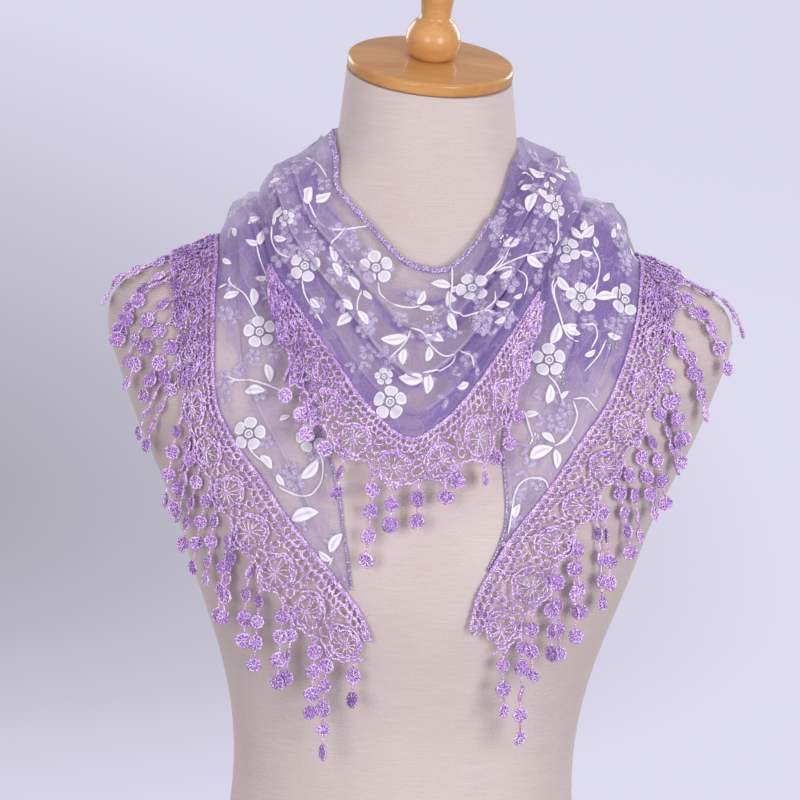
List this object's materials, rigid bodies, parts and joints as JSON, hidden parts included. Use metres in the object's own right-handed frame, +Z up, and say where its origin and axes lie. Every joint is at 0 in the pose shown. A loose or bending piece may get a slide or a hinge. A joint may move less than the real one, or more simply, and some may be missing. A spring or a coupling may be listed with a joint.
{
  "type": "lace shawl on a limbless dress form",
  "caption": "Sheer lilac triangular shawl with crochet lace borders and disc fringe, worn bandana-fashion on a linen-covered dress form with a wooden neck cap and finial.",
  "frame": {"origin": "centre of the dress form's flat base, on the neck's axis", "axes": "+Z up along the form, front faces -Y, +X towards the picture's right, which is the wearer's left"},
  "size_m": [0.4219, 0.2466, 0.7672],
  "materials": {
    "linen": "matt woven linen",
    "wood": "glossy varnish",
    "cloth": "sheer lilac organza",
    "lace": "shiny crochet yarn",
    "binding": "braided satin cord"
  },
  "bodies": {
    "root": {"dress_form": "linen", "neck_cap": "wood", "finial": "wood", "front_drape": "cloth", "left_tail": "cloth", "right_tail": "cloth", "over_wrap": "cloth", "under_wrap": "cloth", "front_lace": "lace", "left_lace": "lace", "right_lace": "lace", "back_left_lace": "lace", "back_right_lace": "lace", "front_fringe": "lace", "left_fringe": "lace", "right_fringe": "lace", "back_left_fringe": "lace", "back_right_fringe": "lace", "neckline_binding": "binding", "left_tail_binding": "binding", "right_tail_binding": "binding"}
  },
  "joints": []
}
